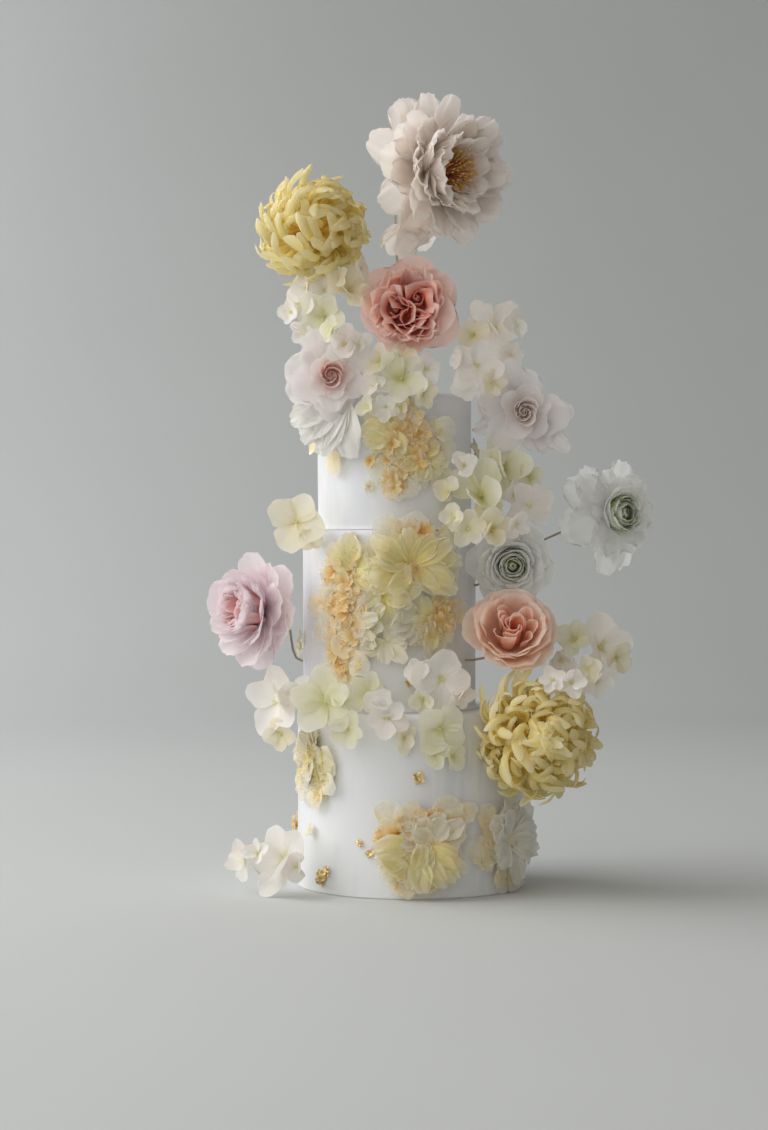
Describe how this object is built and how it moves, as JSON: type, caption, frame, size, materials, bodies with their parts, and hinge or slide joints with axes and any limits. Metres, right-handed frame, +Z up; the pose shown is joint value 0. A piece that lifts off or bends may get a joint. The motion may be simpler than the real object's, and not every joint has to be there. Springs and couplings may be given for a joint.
{
  "type": "tiered wedding cake",
  "caption": "Tall tiered wedding cake in smooth white icing, dressed with wired sugar flowers, small blossoms and reliefs of pressed petals, standing on its flat underside.",
  "frame": {"origin": "middle of the underside of the bottom tier, on the surface that the cake stands on", "axes": "+Z up along the tiers, -Y towards the dressed front of the cake, +X to the right as seen from the front"},
  "size_m": [0.3929, 0.2397, 0.6932],
  "materials": {
    "icing": "smooth satin sugar icing, faintly washed with grey and mauve",
    "petal_blush": "thin matt sugar petal, blush",
    "petal_primrose": "matt sugar petal, primrose yellow",
    "petal_coral": "thin matt sugar petal, coral pink",
    "petal_shell_pink": "thin matt sugar petal, shell pink",
    "petal_mauve_white": "thin matt sugar petal, greyish mauve white",
    "petal_cool_white": "thin matt sugar petal, cool white",
    "petal_apricot": "thin matt sugar petal, apricot",
    "petal_lilac_pink": "thin matt sugar petal, lilac pink",
    "petal_cream": "thin translucent sugar petal, cream",
    "petal_white": "thin translucent sugar petal, white",
    "petal_leaf_cream": "thin translucent sugar petal, greenish cream",
    "petal_ochre": "small pressed florets, ochre",
    "petal_straw": "thin translucent pressed petal, yellow green",
    "stamen": "matt dusted sugar, deep yellow",
    "calyx": "matt green florist's tape and sugar sepals",
    "gold_leaf": "crumpled edible gold leaf",
    "wire": "dark paper-taped florist's wire"
  },
  "bodies": {
    "root": {"tier_bottom": "icing", "tier_middle": "icing", "tier_top": "icing", "peony_crown": "petal_blush", "chrysanthemum_left": "petal_primrose", "garden_rose_pink": "petal_coral", "rose_blush": "petal_shell_pink", "rose_white": "petal_mauve_white", "ranunculus_far": "petal_cool_white", "ranunculus_near": "petal_cool_white", "rose_peach": "petal_apricot", "peony_left": "petal_lilac_pink", "chrysanthemum_right": "petal_primrose", "blossom_crown_1": "petal_cream", "blossom_crown_2": "petal_white", "blossom_crown_3": "petal_leaf_cream", "blossom_crown_4": "petal_white", "blossom_crown_5": "petal_white", "blossom_crown_6": "petal_white", "blossom_crown_7": "petal_white", "blossom_rim_1": "petal_leaf_cream", "blossom_rim_2": "petal_white", "blossom_left_high": "petal_cream", "blossom_cluster_1": "petal_leaf_cream", "blossom_cluster_2": "petal_leaf_cream", "blossom_cluster_3": "petal_cream", "blossom_cluster_4": "petal_cream", "blossom_cluster_5": "petal_white", "blossom_garland_1": "petal_white", "blossom_garland_2": "petal_leaf_cream", "blossom_garland_3": "petal_leaf_cream", "blossom_garland_4": "petal_leaf_cream", "blossom_garland_5": "petal_white", "blossom_garland_6": "petal_cream", "blossom_garland_7": "petal_white", "blossom_garland_8": "petal_leaf_cream", "blossom_spray_1": "petal_white", "blossom_spray_2": "petal_leaf_cream", "blossom_spray_3": "petal_white", "blossom_spray_4": "petal_white", "blossom_base_1": "petal_white", "blossom_base_2": "petal_white", "relief_top_ochre": "petal_ochre", "relief_top_frill": "petal_white", "relief_middle_ochre": "petal_ochre", "relief_middle_fan": "petal_straw", "relief_middle_right": "petal_ochre", "relief_bottom_left": "petal_cream", "relief_bottom_front": "petal_ochre", "relief_bottom_right": "petal_leaf_cream", "wire_peony_crown": "wire", "wire_chrysanthemum_left": "wire", "wire_garden_rose_pink": "wire", "wire_rose_blush": "wire", "wire_rose_white": "wire", "wire_ranunculus_far": "wire", "wire_ranunculus_near": "wire", "wire_rose_peach": "wire", "wire_peony_left": "wire", "wire_chrysanthemum_right": "wire"}
  },
  "joints": []
}
